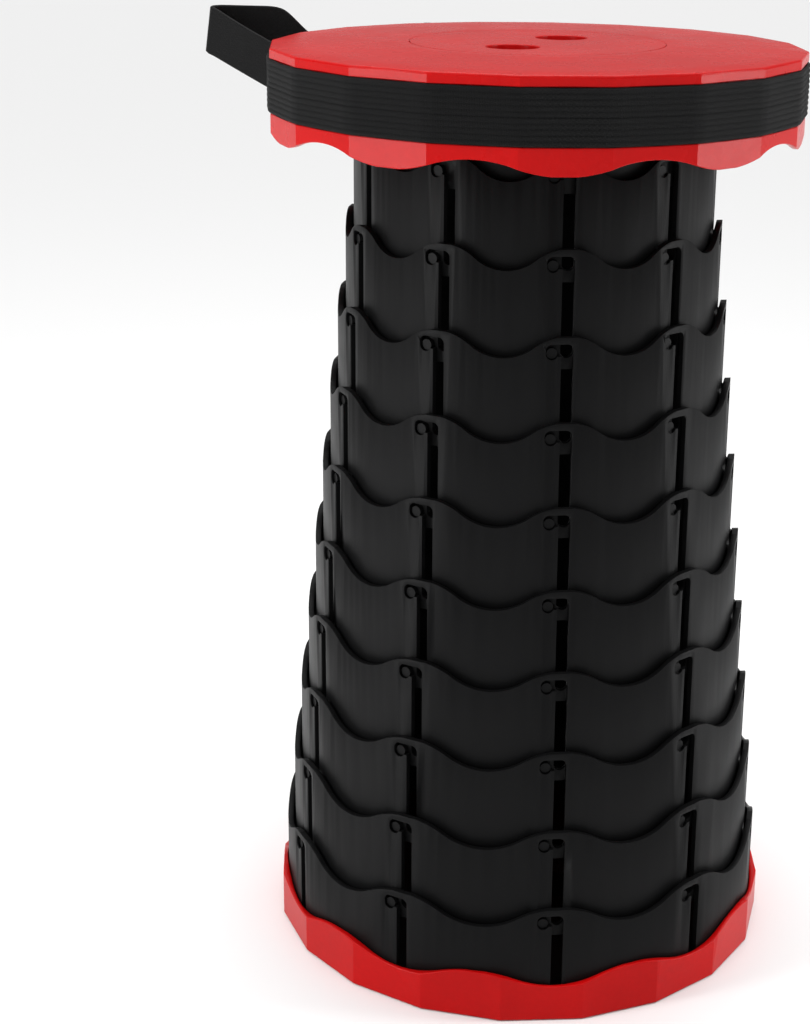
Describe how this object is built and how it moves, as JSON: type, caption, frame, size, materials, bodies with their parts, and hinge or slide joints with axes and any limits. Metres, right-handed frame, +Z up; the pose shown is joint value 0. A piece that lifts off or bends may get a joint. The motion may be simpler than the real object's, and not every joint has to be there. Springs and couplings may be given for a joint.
{
  "type": "telescopic stool",
  "caption": "Collapsible round stool: a faceted seat and base joined by nested wavy rings that lock on hooked slots, with a webbing belt, carrying loop and cam buckle.",
  "frame": {"origin": "on the ground at the stool's axis, under the base", "axes": "+Z up along the axis, -Y through the first column of pins"},
  "size_m": [0.292, 0.2679, 0.4599],
  "materials": {
    "red_plastic": "satin",
    "black_plastic": "matte",
    "black_webbing": "woven",
    "rivet_steel": "polished",
    "buckle_plastic": "satin",
    "lever_plastic": "satin"
  },
  "bodies": {
    "base": {"base_tray": "red_plastic", "base_centre_cap": "red_plastic", "base_ring": "black_plastic"},
    "ring_09": {"ring_09": "black_plastic"},
    "ring_08": {"ring_08": "black_plastic"},
    "ring_07": {"ring_07": "black_plastic"},
    "ring_06": {"ring_06": "black_plastic"},
    "ring_05": {"ring_05": "black_plastic"},
    "ring_04": {"ring_04": "black_plastic"},
    "ring_03": {"ring_03": "black_plastic"},
    "ring_02": {"ring_02": "black_plastic"},
    "ring_01": {"ring_01": "black_plastic"},
    "seat": {"seat_ring": "black_plastic", "seat_shell": "red_plastic", "seat_centre_cap": "red_plastic", "belt_webbing": "black_webbing", "handle_webbing": "black_webbing", "handle_rivets": "rivet_steel", "buckle_frame": "buckle_plastic", "buckle_pin": "rivet_steel"},
    "lever": {"buckle_lever": "lever_plastic"}
  },
  "joints": [
    {"name": "ring_09_slide", "type": "slide", "parent": "base", "child": "ring_09", "axis": [0, 0, 1], "range_m": [-0.039, 0]},
    {"name": "ring_08_slide", "type": "slide", "parent": "ring_09", "child": "ring_08", "axis": [0, 0, 1], "range_m": [-0.039, 0]},
    {"name": "ring_07_slide", "type": "slide", "parent": "ring_08", "child": "ring_07", "axis": [0, 0, 1], "range_m": [-0.039, 0]},
    {"name": "ring_06_slide", "type": "slide", "parent": "ring_07", "child": "ring_06", "axis": [0, 0, 1], "range_m": [-0.039, 0]},
    {"name": "ring_05_slide", "type": "slide", "parent": "ring_06", "child": "ring_05", "axis": [0, 0, 1], "range_m": [-0.039, 0]},
    {"name": "ring_04_slide", "type": "slide", "parent": "ring_05", "child": "ring_04", "axis": [0, 0, 1], "range_m": [-0.039, 0]},
    {"name": "ring_03_slide", "type": "slide", "parent": "ring_04", "child": "ring_03", "axis": [0, 0, 1], "range_m": [-0.039, 0]},
    {"name": "ring_02_slide", "type": "slide", "parent": "ring_03", "child": "ring_02", "axis": [0, 0, 1], "range_m": [-0.039, 0]},
    {"name": "ring_01_slide", "type": "slide", "parent": "ring_02", "child": "ring_01", "axis": [0, 0, 1], "range_m": [-0.039, 0]},
    {"name": "seat_slide", "type": "slide", "parent": "ring_01", "child": "seat", "axis": [0, 0, 1], "range_m": [-0.035, 0]},
    {"name": "lever_hinge", "type": "hinge", "parent": "seat", "child": "lever", "pos_m": [-0.04604, 0.12648, 0.4326], "axis": [0, 0, 1], "range_deg": [0, 100]}
  ]
}
